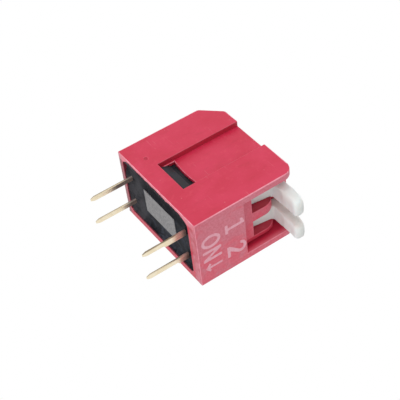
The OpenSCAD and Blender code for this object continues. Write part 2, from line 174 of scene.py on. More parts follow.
class Surface(Nodes):
    """A material whose patterns are laid out in millimetres on the object."""

    def __init__(self, name, **settings):
        self.material = bpy.data.materials.new(name)
        self.material.use_nodes = True
        super().__init__(self.material.node_tree)
        self.shader = self.tree.nodes["Principled BSDF"].inputs
        for key, value in settings.items():
            self.put(value, self.shader[key.replace("_", " ")])
        place = self.add("TexCoord").outputs
        self.mm = self.stretched((1 / MM, 1 / MM, 1 / MM), place=place["Object"])
        self.x, self.y, self.z = self.axes(self.mm)
        self.nx, self.ny, self.nz = self.axes(place["Normal"])

    def axes(self, vector):
        node = self.add("SeparateXYZ")
        self.put(vector, node.inputs[0])
        return node.outputs

    def stretched(self, scale, turn=(0, 0, 0), place=None):
        """The object's millimetres, scaled and turned differently along each axis."""
        node = self.add("Mapping")
        self.put(place or self.mm, node.inputs["Vector"])
        self.put(scale, node.inputs["Scale"])
        self.put(turn, node.inputs["Rotation"])
        return node.outputs["Vector"]

    def noise(self, scale, detail=2.0, rough=0.5, place=None, warp=0.0):
        """Noise from 0 to 1, whose clouds are about 1 / scale millimetres wide."""
        node = self.add("TexNoise")
        for key, value in (("Vector", place or self.mm), ("Scale", scale), ("Detail", detail),
                           ("Roughness", rough), ("Distortion", warp)):
            self.put(value, node.inputs[key])
        return node.outputs["Fac"]

    def cells(self, scale):
        """Distance to the middle of the nearest of some scattered cells."""
        node = self.add("TexVoronoi")
        self.put(self.mm, node.inputs["Vector"])
        self.put(scale, node.inputs["Scale"])
        return node.outputs["Distance"]

    def mix(self, factor, first, second):
        node = self.add("Mix", data_type="RGBA")
        self.put(factor, node.inputs[0])
        colours = [socket for socket in node.inputs if socket.type == "RGBA"]
        for value, socket in zip((first, second), colours):
            self.put((*value, 1.0) if isinstance(value, tuple) else value, socket)
        return next(socket for socket in node.outputs if socket.type == "RGBA")

    def tint(self, colour, tone, *masks):
        """Lays a tone over a colour, as far as the product of the masks says."""
        return self.mix(self.times(*masks), colour, tone)

    def facing(self, component, way=1):
        """1 where a normal's component is near to way, 0 where it is less than half of it."""
        return self.remap(component, 0.5 * way, 0.9 * way)

    def bump(self, height, strength, distance, below=None):
        node = self.add("Bump")
        self.put(height, node.inputs["Height"])
        self.put(strength, node.inputs["Strength"])
        self.put(distance * MM, node.inputs["Distance"])
        if below:
            self.put(below, node.inputs["Normal"])
        return node.outputs["Normal"]

    def worn_and_highlit(self):
        """How rubbed the mesh says that its rounded edges are; the lightening it drives is also a
        painted highlight.
        """
        return self.add("Attribute", attribute_name=EDGE).outputs["Fac"]

    def finish(self, colour, rough, normal):
        for key, value in (("Base Color", colour), ("Roughness", rough), ("Normal", normal)):
            self.put(value, self.shader[key])
        return self.material


# ---- Materials ----

# Painted shade, in the pocket and on the last end's rim
SHADE_RED = (0.36, 0.012, 0.030)


def housing_material():
    """Red moulded polyester: fine spark-eroded grain, faint flow marks, rubbed edges, and painted
    sheen, highlights and shade in its colour.
    """
    skin = Surface("red_polyester", IOR=1.5)
    cloud = skin.noise(0.32, 3.0, 0.55, warp=0.4)
    fleck = skin.noise(2.6, 4.0, 0.6)
    flow = skin.noise(1.0, 3.0, 0.6, place=skin.stretched((0.5, 2.4, 0.7), (0.2, 0.1, 0.6)))
    colour = skin.mix(skin.remap(cloud, 0.3, 0.72), (0.605, 0.017, 0.060), (0.665, 0.029, 0.086))
    colour = skin.tint(colour, (0.72, 0.075, 0.12), skin.remap(fleck, 0.5, 0.78, 0.0, 0.35))
    colour = skin.tint(colour, (0.50, 0.016, 0.040), skin.remap(flow, 0.52, 0.75, 0.0, 0.3))
    scuff = skin.noise(1.0, 2.0, 0.5, place=skin.stretched((1.1, 0.5, 9.0), (0.5, 0.0, 0.3)))
    scuff = skin.times(skin.remap(scuff, 0.66, 0.76), skin.remap(cloud, 0.45, 0.6))
    colour = skin.tint(colour, (0.80, 0.26, 0.32), scuff, 0.35)
    dust = skin.times(skin.remap(skin.cells(1.5), 0.075, 0.035), skin.remap(fleck, 0.45, 0.6))
    colour = skin.tint(colour, (0.86, 0.55, 0.58), dust, 0.45)

    # Painted sheen and a rougher finish: full on the print plate's face, nearly so back to the
    # pocket's wall, faint farther in
    depth = skin.math("SUBTRACT", skin.y, FRONT_Y)
    front = skin.times(skin.facing(skin.ny, -1), skin.remap(depth, 1.2, 0.75, 0.12, 0.9))
    front = skin.most(front, skin.remap(depth, 0.10, 0.02))
    colour = painted_sheen_front(skin, colour, front, depth)
    colour = rim_painted_light_and_tone(skin, colour)
    colour = pocket_painted_shade(skin, colour, depth)
    colour = darkened_room_walls(skin, colour)
    gate = skin.remap(skin.vector_math("DISTANCE", skin.mm, GATE_MARK), 0.22, 0.10)
    colour = skin.tint(colour, (0.30, 0.012, 0.03), gate, 0.35)
    patchy = skin.remap(skin.noise(1.7, 3.0), 0.3, 0.65, 0.4, 1.0)
    # Rubbed edges, lightened also as a painted edge highlight
    colour = skin.tint(colour, (0.92, 0.36, 0.45), skin.worn_and_highlit(), patchy)

    rough = skin.remap(fleck, 0.3, 0.7, 0.36, 0.47)
    rough = skin.plus(rough, skin.times(scuff, 0.15), skin.times(front, 0.1))
    wave = skin.bump(skin.noise(0.8, 2.0), 0.25, 0.02)
    grain = skin.bump(skin.noise(26.0, 2.0, 0.6), 0.22, 0.006, below=wave)
    return skin.finish(colour, rough, grain)


def painted_sheen_front(skin, colour, front, depth):
    """The front is spark-eroded coarser, for the print; its paler colour is a painted sheen."""
    grit = skin.remap(skin.noise(5.0, 4.0, 0.7), 0.35, 0.68)
    greyer_sheen = skin.mix(grit, (0.62, 0.155, 0.208), (0.71, 0.225, 0.285))
    rosy = skin.mix(grit, (0.70, 0.105, 0.155), (0.78, 0.165, 0.225))
    patch = skin.noise(0.5, 3.0, 0.6, warp=0.5)
    patch = skin.plus(patch, skin.remap(skin.x, -2.0, 3.4, -0.12, 0.12))
    sheen_tone = skin.mix(skin.remap(patch, 0.38, 0.62), greyer_sheen, rosy)
    cover = skin.remap(skin.noise(0.8, 3.0, 0.6, warp=0.5), 0.35, 0.65, 0.85, 1.0)
    # The painted sheen thins out behind the plate, most of all beside the last key, which is left in
    # painted shade
    other_webs = skin.remap(skin.x, SLOT_X, SLOT_X - 0.1)
    last_web = skin.most(other_webs, skin.remap(depth, 0.3, 0.1, 0.1, 1.0))
    behind = skin.remap(depth, 0.3, 0.1, 0.7, 1.0)
    return skin.tint(colour, sheen_tone, front, cover, last_web, behind)


def rim_painted_light_and_tone(skin, colour):
    """The bottom rim's colour differs along each of its sides: painted sheen on the front, a painted
    highlight on the first end, painted shade on the last end, and a darker grey at the back.
    """
    low, high = SEALANT
    rim = skin.times(skin.facing(skin.nz, -1), skin.remap(skin.z, 0.1, 0.05))
    blotch = skin.remap(skin.noise(1.6, 3.0, 0.6), 0.4, 0.6)
    # Painted sheen for the front rim, blotchy
    rubbed = skin.mix(blotch, (0.48, 0.050, 0.09), (0.58, 0.13, 0.185))
    last_end = skin.remap(skin.x, high[0] - 0.2, high[0] + 0.1, 0.0, 0.35)
    back = skin.remap(skin.y, high[1] - 0.03, high[1] + 0.17, 0.0, 0.85)
    front = skin.remap(skin.y, low[1] - 0.18, low[1] - 0.38, 0.0, 0.9)
    first_end = skin.remap(skin.x, low[0] + 0.2, low[0] - 0.1, 0.0, 0.6)
    for side, tone in ((last_end, SHADE_RED), (back, (0.22, 0.08, 0.095)),
                       (front, rubbed), (first_end, (0.80, 0.24, 0.31))):
        colour = skin.tint(colour, tone, rim, side)
    return colour


def pocket_painted_shade(skin, colour, depth):
    """Painted light and shade in the pocket: its end walls are paler at the front, and places far in
    are darkened as painted shade.
    """
    across = skin.math("ABSOLUTE", skin.x)
    sideways = skin.facing(skin.math("ABSOLUTE", skin.nx))
    forward = skin.facing(skin.ny, -1)
    cheek = skin.times(sideways, skin.remap(across, CHEEK_X + 0.08, CHEEK_X + 0.04))
    colour = skin.tint(colour, (0.80, 0.16, 0.22), cheek, skin.remap(depth, 0.55, 0.05, 0.0, 0.85))
    cheek_back = skin.times(cheek, skin.remap(depth, 0.35, 0.75, 0.0, 0.75))
    key_room = skin.times(forward, skin.remap(depth, 1.3, 1.4))
    slots = skin.times(sideways, skin.remap(across, SLOT_X, SLOT_X - 0.1))
    last_web = skin.times(forward, skin.remap(skin.x, SLOT_X - 0.1, SLOT_X, 0.0, 0.6),
                          skin.remap(depth, 0.2, 0.4))
    deep = skin.most(key_room, slots, last_web, cheek_back)
    return skin.tint(colour, SHADE_RED, deep, 0.8)


def darkened_room_walls(skin, colour):
    """Darkens the last end wall and the back wall just inside the rim."""
    far = SEALANT[1]
    last_end = skin.times(skin.facing(skin.nx, -1), skin.remap(skin.x, far[0] - 0.3, far[0] - 0.2))
    back = skin.times(skin.facing(skin.ny, -1), skin.remap(skin.y, far[1] - 0.53, far[1] - 0.43))
    low = skin.remap(skin.z, far[2] + 0.26, far[2] + 0.06)
    return skin.tint(colour, (0.15, 0.016, 0.032), skin.most(last_end, back), low, 0.9)


def base_material():
    """Black glass-filled polyester; the block in its underside is ground matt, and its pale grey is
    partly a painted sheen.
    """
    skin = Surface("black_polyester", IOR=1.5, Specular_IOR_Level=0.3)
    cloud = skin.noise(1.3, 3.0, 0.6)
    fibre = skin.noise(1.0, 3.0, 0.6, place=skin.stretched((4.0, 14.0, 8.0), (0.3, 0.2, 0.5)))
    dark = skin.mix(skin.remap(cloud, 0.35, 0.7), (0.013, 0.014, 0.019), (0.027, 0.030, 0.040))
    dark = skin.tint(dark, (0.075, 0.075, 0.080), skin.remap(fibre, 0.58, 0.75, 0.0, 0.4))
    fine = skin.remap(skin.noise(6.5, 3.0, 0.7), 0.36, 0.62)
    # The block's face: ground grey, made paler as a painted sheen
    pale = skin.mix(fine, (0.190, 0.186, 0.192), (0.290, 0.284, 0.289))
    pale = skin.tint(pale, (0.34, 0.335, 0.33), skin.remap(fibre, 0.6, 0.8, 0.0, 0.35))
    ground = skin.remap(skin.z, SEALANT[1][2] + 0.02, SEALANT[1][2] - 0.02)
    colour = skin.mix(ground, dark, pale)
    # Rubbed edges, lightened also as a painted edge highlight
    colour = skin.tint(colour, (0.25, 0.25, 0.26), skin.worn_and_highlit(), 0.25)
    rough = skin.plus(skin.remap(cloud, 0.3, 0.7, 0.42, 0.55), skin.times(ground, 0.22))
    return skin.finish(colour, rough, skin.bump(skin.noise(20.0, 3.0, 0.6), 0.3, 0.008))


def sealant_material():
    """Black epoxy, cured uneven, smudged, and dulled by flux around the back pins; its trough along
    the first end wall is kept dark as painted shade.
    """
    skin = Surface("black_epoxy", IOR=1.45, Specular_IOR_Level=0.045)
    smudge = skin.noise(1.1, 5.0, 0.62, warp=0.9)
    speck = skin.noise(7.0, 3.0, 0.65)
    # The trough along the first end wall is hardly smudged, so it stays dark as painted shade
    out_of_painted_shade = skin.remap(skin.x, -1.5, -0.5, 0.05, 1.0)
    smudged = skin.times(skin.remap(smudge, 0.42, 0.72), out_of_painted_shade)
    colour = skin.mix(smudged, (0.0072, 0.0082, 0.0115), (0.044, 0.049, 0.065))
    speckled = skin.remap(speck, 0.56, 0.72, 0.0, 0.6)
    colour = skin.tint(colour, (0.066, 0.072, 0.090), speckled, out_of_painted_shade)
    flux = skin.remap(skin.y, PIN_Y - 1.91, PIN_Y - 0.91)
    colour = skin.tint(colour, (0.050, 0.049, 0.056), flux, skin.remap(smudge, 0.35, 0.6, 0.3, 1.0))
    normal = skin.bump(skin.noise(2.2, 3.0, 0.5), 0.35, 0.03)
    normal = skin.bump(speck, 0.12, 0.006, below=normal)
    return skin.finish(colour, skin.remap(smudge, 0.3, 0.75, 0.45, 0.65), normal)


def key_material():
    """White moulded acetal, a little waxy, slightly soiled, with painted shade on its tips and a
    painted shadow between the keys.
    """
    skin = Surface("white_acetal", IOR=1.48, Subsurface_Weight=0.6,
                   Subsurface_Radius=(1.0, 0.9, 0.85), Subsurface_Scale=0.5 * MM)
    cloud = skin.noise(0.7, 3.0, 0.55, warp=0.3)
    speck = skin.noise(8.0, 3.0, 0.6)
    colour = skin.mix(skin.remap(cloud, 0.3, 0.7), (0.78, 0.812, 0.79), (0.825, 0.868, 0.86))
    colour = skin.tint(colour, (0.62, 0.58, 0.53), skin.remap(speck, 0.66, 0.8, 0.0, 0.35))
    # Painted shade on the faces that look forward, to the tips, and a painted shadow of the first
    # key on the second key's side
    colour = skin.tint(colour, (0.72, 0.735, 0.715), skin.remap(skin.ny, -0.3, -0.9, 0.0, 0.85))
    gap = skin.times(skin.remap(skin.nx, -0.3, -0.8), skin.remap(skin.x, 0.0, 0.4))
    colour = skin.tint(colour, (0.71, 0.685, 0.655), gap)
    wave = skin.bump(skin.noise(1.4, 2.0), 0.3, 0.02)
    grain = skin.bump(skin.noise(24.0, 2.0, 0.6), 0.15, 0.005, below=wave)
    return skin.finish(colour, skin.remap(cloud, 0.3, 0.7, 0.36, 0.5), grain)


def gold_material():
    """Gold plate over drawn and stamped strip: lengthwise drawing lines, thin spots."""
    skin = Surface("gold_plate")
    drawn = skin.noise(1.0, 3.0, 0.6, place=skin.stretched((38.0, 38.0, 1.6)))
    tone = skin.noise(1.6, 3.0, 0.6)
    colour = skin.mix(skin.remap(tone, 0.35, 0.7), (0.83, 0.72, 0.51), (0.88, 0.79, 0.61))
    colour = skin.tint(colour, (0.66, 0.48, 0.27), skin.remap(drawn, 0.58, 0.78, 0.0, 0.5))
    sheared = sheared_side(skin)
    torn = skin.noise(1.0, 3.0, 0.6, place=skin.stretched((9.0, 26.0, 1.1)))
    bare = skin.mix(skin.remap(torn, 0.35, 0.65), (0.10, 0.07, 0.045), (0.42, 0.32, 0.21))
    colour = skin.tint(colour, bare, sheared, 0.85)
    back = skin.remap(skin.y, -1.0, 1.0)
    stain_and_reflection = root_stain_and_reflection(skin, back)
    pink = skin.mix(skin.remap(skin.z, -0.35, 0.15), (0.58, 0.285, 0.25), (0.16, 0.075, 0.075))
    colour = skin.tint(colour, skin.mix(back, pink, (0.12, 0.076, 0.076)), stain_and_reflection)
    metal = skin.math("SUBTRACT", 1.0, skin.times(stain_and_reflection, 0.95))
    skin.put(metal, skin.shader["Metallic"])
    rough = skin.plus(skin.remap(drawn, 0.3, 0.75, 0.20, 0.40), skin.times(sheared, 0.25))
    return skin.finish(colour, rough, skin.bump(drawn, 0.35, 0.006))


def sheared_side(skin):
    """Where the strip's sheared sides are rough and hardly plated, mostly towards the back."""
    first_front = skin.times(skin.remap(skin.x, 1.0, -1.0), skin.remap(skin.y, 1.0, -1.0))
    row_y = skin.times(skin.math("SIGN", skin.y), PIN_Y)
    across = skin.plus(skin.math("SUBTRACT", skin.y, row_y), skin.times(first_front, 0.09))
    side = skin.remap(skin.math("ABSOLUTE", skin.nx), 0.55, 0.85)
    return skin.times(side, skin.remap(across, -0.05, 0.07, 0.2, 1.0))


def root_stain_and_reflection(skin, back):
    """Flux and epoxy stains colour the roots; the dark reaches farthest down on the back pins' faces
    that look forward, most on the first one, as a painted reflection of the dark base.
    """
    wander = skin.times(skin.noise(3.0, 3.0, 0.6), 0.8)
    farther = skin.times(back, skin.remap(skin.ny, -0.7, -0.3, 1.0, 0.0),
                         skin.remap(skin.x, -1.0, 1.0, 1.1, 0.3))
    stain_and_reflection = skin.remap(skin.plus(skin.z, wander, farther), -0.7, 0.3, 0.0, 0.9)
    # The wipers, higher up, are clean
    return skin.times(stain_and_reflection, skin.remap(skin.z, 0.9, 1.1, 1.0, 0.0))


def ink_material():
    """White pad-printed ink on red plastic, thin and a little rubbed."""
    skin = Surface("print_ink", IOR=1.45)
    cover = skin.noise(5.5, 4.0, 0.65)
    broad = skin.noise(0.9, 2.0)
    thin = skin.plus(skin.remap(cover, 0.42, 0.72, 0.0, 0.45), skin.remap(broad, 0.4, 0.7, 0.0, 0.2))
    colour = skin.mix(thin, (0.86, 0.45, 0.53), (0.72, 0.20, 0.27))
    rough = skin.remap(cover, 0.3, 0.7, 0.5, 0.65)
    return skin.finish(colour, rough, skin.bump(cover, 0.3, 0.006))


# ---- Pieces ----

SMOOTH_BELOW = 40       # edges sharper than this many degrees stay sharp in the shading


def add_piece(name, shape, material, body, node=None, smooth_below=SMOOTH_BELOW):
    """Makes a piece of a bmesh. It rides on a body, and may stand for a CAD node."""
    mesh = bpy.data.meshes.new(name)
    shape.to_mesh(mesh)
    shape.free()
    mesh.materials.append(material)
    mesh.shade_smooth()
    mesh.set_sharp_from_angle(angle=math.radians(smooth_below))
    piece = bpy.data.objects.new(name, mesh)
    bpy.context.scene.collection.objects.link(piece)
    even = piece.modifiers.new("even_normals", "WEIGHTED_NORMAL")
    even.keep_sharp = True
    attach(piece, body)
    if node:
        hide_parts(node)


def vertex(shape, x, y, z):
    return shape.verts.new((x * MM, y * MM, z * MM))


def bridge(shape, first, second):
    """Adds the faces between two rings of equally many vertices."""
    for k in range(len(first)):
        after = (k + 1) % len(first)
        shape.faces.new((first[k], first[after], second[after], second[k]))


# ---- Rounded copies of CAD nodes ----

MERGE = 1e-4            # vertices closer than this are made one
FLAT = 0.5              # faces that meet with less of a bend, in degrees, are made one
ROUND_FACETS = 2        # facets across a rounded edge
SHARPER_THAN = 25       # edges with less of a bend than this, in degrees, aren't rounded
FOLDED = 150            # an edge that bends by more than this is a fold
TRIES = 5               # how often edges near folds are left out, and the rest rounded again
NEAR_FOLD = 2.2         # edges within this many widths of a fold are near it
LONG_EDGE = 0.5         # edges longer than this are always rounded
FACET = 0.035           # long facets narrower than this belong to a round
NEAR_SIDE = 0.12        # an edge this near to a side of the housing lies on it


def even_wear_and_highlight(point):
    """How rubbed an edge is, and so how much painted highlight it gets, where all are alike."""
    return 1.0


def outer_wear_and_highlight(point):
    """How rubbed an edge is, and so how much painted highlight it gets: fully on the housing's outer
    edges, little on inner ones.
    """
    low, high = HOUSING
    gaps = [min(abs(point[k] - low[k]), abs(point[k] - high[k])) for k in range(3)]
    if sum(gap < NEAR_SIDE for gap in gaps) > 1:
        return 1.0
    in_channel = CHANNEL_X[0] < abs(point.x) < CHANNEL_X[1] and point.z > 0.5
    return 0.55 if in_channel else 0.15


def mark_rounds(shape, wear_and_highlight):
    """Marks the facets of the CAD's own rounds as rubbed, which also gives them a painted highlight.
    """
    layer = shape.faces.layers.float.new(EDGE)
    for face in shape.faces:
        longest = max(e.calc_length() for e in face.edges)
        if longest > LONG_EDGE * MM and face.calc_area() < FACET * MM * longest:
            face[layer] = wear_and_highlight(face.calc_center_median() / MM)


def bevelled(whole, edges, width, wear_and_highlight):
    """A copy of a bmesh with some edges rounded, and its new faces marked as rubbed, which gives
    them a painted highlight too.
    """
    shape = whole.copy()
    shape.edges.ensure_lookup_table()
    made = bmesh.ops.bevel(shape, geom=[shape.edges[e.index] for e in edges],
                           offset=width * MM, offset_type="OFFSET", segments=ROUND_FACETS,
                           profile=0.5, affect="EDGES", clamp_overlap=False,
                           loop_slide=True, material=-1)
    layer = shape.faces.layers.float[EDGE]
    for face in made["faces"]:
        face[layer] = wear_and_highlight(face.calc_center_median() / MM)
    return shape


def folds(shape):
    """Middles of edges at which the surface folds back on itself."""
    return [(e.verts[0].co + e.verts[1].co) / 2 for e in shape.edges
            if not e.is_manifold or e.calc_face_angle() > math.radians(FOLDED)]


def distance(edge, point):
    """Distance from an edge to a point."""
    start, end = (v.co for v in edge.verts)
    way = end - start
    share = (point - start).dot(way) / max(way.length_squared, 1e-18)
    return (start + way * min(max(share, 0.0), 1.0) - point).length


def rounded(node, width, wear_and_highlight=even_wear_and_highlight):
    """A copy of a CAD node's mesh with its sharp outer corners rounded.

    A short edge that would make the surface fold over itself stays sharp.
    """
    whole = bmesh.new()
    whole.from_mesh(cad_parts[node].data)
    bmesh.ops.remove_doubles(whole, verts=whole.verts, dist=MERGE * MM)
    bmesh.ops.dissolve_limit(whole, angle_limit=math.radians(FLAT),
                             verts=whole.verts, edges=whole.edges)
    mark_rounds(whole, wear_and_highlight)
    whole.edges.index_update()
    edges = [e for e in whole.edges if e.is_manifold and e.is_convex
             and e.calc_face_angle() > math.radians(SHARPER_THAN)]
    shape = bevelled(whole, edges, width, wear_and_highlight)
    for _ in range(TRIES):
        spots = folds(shape)
        if not spots:
            break
        edges = [e for e in edges if e.calc_length() > LONG_EDGE * MM
                 or min(distance(e, spot) for spot in spots) > NEAR_FOLD * width * MM]
        shape.free()
        shape = bevelled(whole, edges, width, wear_and_highlight)
    whole.free()
    return shape


# ---- Pins ----

SHANK_Z = -2.6          # below this the pins narrow,
NARROWING = 0.12        # and by this share at their tips
ROOT_ENDS = (-1.85, -0.9)       # above these the two front pins are wider,
ROOT_EXTRA = 0.16       # and by this, on their +X side
ROOT_RAMP = 0.24        # height over which that width comes in
ROOT_TOP = SEALANT[1][2] - 0.02         # where it ends, inside the sealant


def narrow_tip(shape):
    """Draws the end of a pin in towards its axis."""
    points = [v.co for v in shape.verts if v.co.z < SHANK_Z * MM]
    for k in (0, 1):
        middle = (max(p[k] for p in points) + min(p[k] for p in points)) / 2
        for p in points:
            share = (SHANK_Z * MM - p.z) / ((SHANK_Z - PIN_TIP_Z) * MM)
            p[k] = middle + (p[k] - middle) * (1.0 - NARROWING * share ** 2)


def widen_root(shape, end):
    """Widens a pin on its +X side, from a height up into the sealant."""
    levels = ((end, 0.0), (end + ROOT_RAMP / 2, 0.8), (end + ROOT_RAMP, 1.0),
              (ROOT_TOP - 0.02, 1.0), (ROOT_TOP, 0.0))
    for z, _ in levels:
        bmesh.ops.bisect_plane(shape, geom=shape.verts[:] + shape.edges[:] + shape.faces[:],
                               dist=TOUCH * MM, plane_co=(0, 0, z * MM), plane_no=(0, 0, 1))
    shank = [v.co.x for v in shape.verts if v.co.z < end * MM]
    middle = (max(shank) + min(shank)) / 2
    for v in shape.verts:
        if v.co.x > middle:
            share = next((extra for z, extra in levels if abs(v.co.z / MM - z) < 1e-3), 0.0)
            v.co.x += share * ROOT_EXTRA * MM


# ---- Keys ----

KEY_SMOOTH_BELOW = 50           # degrees
KEY_GRAIN = 0.04                # spacing of the keys' vertices
KEY_PASSES = 120                # how many times their paddles are smoothed
KEY_RETREAT = 0.004             # each pass starts this much farther out than the one before
KEY_SWELL = 0.085               # what the smoothing takes off the paddles is added again,
KEY_CROWN = 0.10                # and this much more on top of them,
KEY_RAMP = 0.5                  # over this length from where they start
PADDLE_Y = FRONT_Y + 0.15       # the paddles lie in front of this
PADDLE_Z = 7.4                  # and above this


def grained(node):
    """A copy of a CAD node's mesh with evenly spaced vertices, in millimetres."""
    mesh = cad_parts[node].data.copy()
    mesh.transform(Matrix.Scale(1 / MM, 4))
    raw = bpy.data.objects.new("raw_" + node, mesh)
    bpy.context.scene.collection.objects.link(raw)
    remesh = raw.modifiers.new("grain", "REMESH")
    remesh.mode = "VOXEL"
    remesh.voxel_size = KEY_GRAIN
    shape = bmesh.new()
    shape.from_object(raw, bpy.context.evaluated_depsgraph_get())
    bpy.data.objects.remove(raw)
    bpy.data.meshes.remove(mesh)
    return shape


def moulded(node):
    """A copy of a CAD key whose paddle has soft, round corners and a crowned top."""
    shape = grained(node)
    for k in range(KEY_PASSES):
        start_y = PADDLE_Y - KEY_RETREAT * k
        paddle = [v for v in shape.verts if v.co.y < start_y and v.co.z > PADDLE_Z]
        bmesh.ops.smooth_vert(shape, verts=paddle, factor=0.5, use_axis_x=True,
                              use_axis_y=True, use_axis_z=True)
    shape.normal_update()
    tip_y = min(v.co.y for v in shape.verts)
    for v in shape.verts:
        out = PADDLE_Y - v.co.y
        if out > 0 and v.co.z > PADDLE_Z:
            crown = KEY_CROWN * max(v.normal.z, 0.0) * (1.0 - (out / (PADDLE_Y - tip_y)) ** 3)
            v.co += v.normal * (KEY_SWELL + crown) * min(out / KEY_RAMP, 1.0)
    bmesh.ops.scale(shape, vec=(MM, MM, MM), verts=shape.verts)
    return shape


# ---- Sealant ----

SEAL_STEP = 0.06                # spacing of its grid
SEAL_CORNER = 0.4               # radius of its corners
SEAL_LEVEL = 0.30               # height of its middle above the board
SEAL_LEAN = 0.22                # how much deeper it lies along the first end wall
SEAL_TOP = SEALANT[1][2] - 0.01         # just inside the CAD's
SEAL_LEAST = 0.025              # its least thickness
WALL_CLIMB = (0.19, 0.17)       # how far it climbs the walls, and over what distance
BLOCK_CLIMB = (0.05, 0.08)
PIN_CLIMB = (0.13, 0.11)
BARE_RISE = 0.15                # how much deeper it lies within the block, whose face is bare,
BARE_RAMP = 0.06                # and over what distance it gets there
SEAL_WAVES = ((0.030, 0.9, 1.7), (0.010, 3.1, 5.2))     # height, fineness and place of each


def outside(x, y, low, high, corner=0.0):
    """Distance from a point to a rectangle with round corners, negative inside."""
    dx = abs(x - (low[0] + high[0]) / 2) - (high[0] - low[0]) / 2 + corner
    dy = abs(y - (low[1] + high[1]) / 2) - (high[1] - low[1]) / 2 + corner
    return math.hypot(max(dx, 0.0), max(dy, 0.0)) + min(max(dx, dy), 0.0) - corner


def climb(gap, height, reach):
    """How far the sealant climbs at some distance from what it touches."""
    return height * math.exp(-max(gap, 0.0) / reach)


def seal_height(x, y):
    """Level of the poured sealant: it climbs walls, block and pins, and is uneven elsewhere.

    It was poured with the switch upside down, so what climbs goes down in Z.
    """
    lean = min(max((BLOCK[0][0] - x) / (BLOCK[0][0] - SEALANT[0][0]), 0.0), 1.0)
    z = SEAL_LEVEL + SEAL_LEAN * lean
    z -= climb(-outside(x, y, *SEALANT, SEAL_CORNER), *WALL_CLIMB) * (1.0 - lean)
    block_gap = outside(x, y, *BLOCK)
    z -= climb(block_gap, *BLOCK_CLIMB)
    for pin in PINS:
        z -= climb(outside(x, y, *pin), *PIN_CLIMB)
    for height, fine, place in SEAL_WAVES:
        z += height * noise.noise(Vector((x * fine, y * fine, place)))
    return z + BARE_RISE * min(max(-block_gap / BARE_RAMP, 0.0), 1.0)


def drawn_in(x, y):
    """Moves a point of a rectangle's grid in to the sealant's round corners."""
    low, high = SEALANT
    corner_x = high[0] - SEAL_CORNER if x > 0 else low[0] + SEAL_CORNER
    corner_y = high[1] - SEAL_CORNER if y > 0 else low[1] + SEAL_CORNER
    u = (x - corner_x) / SEAL_CORNER
    v = (y - corner_y) / SEAL_CORNER
    if u * x > 0 and v * y > 0:
        x = corner_x + SEAL_CORNER * u * math.sqrt(1.0 - v * v / 2)
        y = corner_y + SEAL_CORNER * v * math.sqrt(1.0 - u * u / 2)
    return x, y


def rim_of(grid):
    """The vertices round the outside of a grid, one after another."""
    last_column = [row[-1] for row in grid[:-1]]
    first_column = [row[0] for row in grid[:0:-1]]
    return grid[0][:-1] + last_column + grid[-1][:0:-1] + first_column


def poured():
    """The sealant, with an uneven underside and a flat top that the base hides."""
    low, high = SEALANT
    columns = round((high[0] - low[0]) / SEAL_STEP)
    rows = round((high[1] - low[1]) / SEAL_STEP)
    xs = [low[0] + (high[0] - low[0]) * k / columns for k in range(columns + 1)]
    ys = [low[1] + (high[1] - low[1]) * k / rows for k in range(rows + 1)]
    places = [[drawn_in(x, y) for x in xs] for y in ys]
    shape = bmesh.new()
    under = [[vertex(shape, x, y, min(seal_height(x, y), SEAL_TOP - SEAL_LEAST))
              for x, y in row] for row in places]
    top = [[vertex(shape, x, y, SEAL_TOP) for x, y in row] for row in places]
    for grid in (under, top):
        for first, second in zip(grid, grid[1:]):
            for k in range(columns):
                shape.faces.new((first[k], first[k + 1], second[k + 1], second[k]))
    bridge(shape, rim_of(under), rim_of(top))
    bmesh.ops.dissolve_degenerate(shape, dist=TOUCH * MM, edges=shape.edges)
    bmesh.ops.recalc_face_normals(shape, faces=shape.faces)
    return shape


SMEAR_REACH = 0.29              # how far epoxy crept over the rim of the first end wall
SMEAR_WANDER = 0.35             # by what share of that it varies
SMEAR_MARGIN = 0.25             # how far from the room's corners it ends
SMEAR_FADE = 0.5                # it comes in over this length
SMEAR_THICK = (0.006, 0.003)    # how far it stands below the rim, inside and outside
SMEAR_SUNK = 0.02               # how far it reaches up the room's wall and into the rim
SMEAR_STEPS = 120


def smeared():
    """Thin film of epoxy on the inner edge of the rim, with a wandering outline."""
    wall = SEALANT[0][0]
    start = SEALANT[0][1] + SMEAR_MARGIN
    end = SEALANT[1][1] - SMEAR_MARGIN
    shape = bmesh.new()
    rings = []
    for k in range(SMEAR_STEPS + 1):
        y = start + (end - start) * k / SMEAR_STEPS
        wander = noise.noise(Vector((0.0, y * 1.9, 2.2)))
        wander += 0.5 * noise.noise(Vector((0.0, y * 6.0, 1.0)))
        fade = max(min((y - start) / SMEAR_FADE, (end - y) / SMEAR_FADE, 1.0), 0.0)
        out = wall - 0.01 - SMEAR_REACH * (1.0 + SMEAR_WANDER * wander) * fade
        profile = ((wall + SMEAR_SUNK, SMEAR_SUNK), (wall + SMEAR_SUNK, 0.004),
                   (wall - 0.01, -SMEAR_THICK[0]), (out, -SMEAR_THICK[1]), (out, SMEAR_SUNK))
        rings.append([vertex(shape, x, y, z) for x, z in profile])
    for first, second in zip(rings, rings[1:]):
        bridge(shape, first, second)
    for ring in (rings[0], rings[-1]):
        shape.faces.new(ring)
    bmesh.ops.recalc_face_normals(shape, faces=shape.faces)
    return shape


# ---- Print, in X and Z on the print plate ----

INK = 0.012                     # how far the print stands on the plate
INK_SUNK = 0.004                # and how far it reaches into it
STROKE = 0.26                   # width of its strokes
STRAIGHT = 20                   # a corner that turns by less, in degrees, is kept


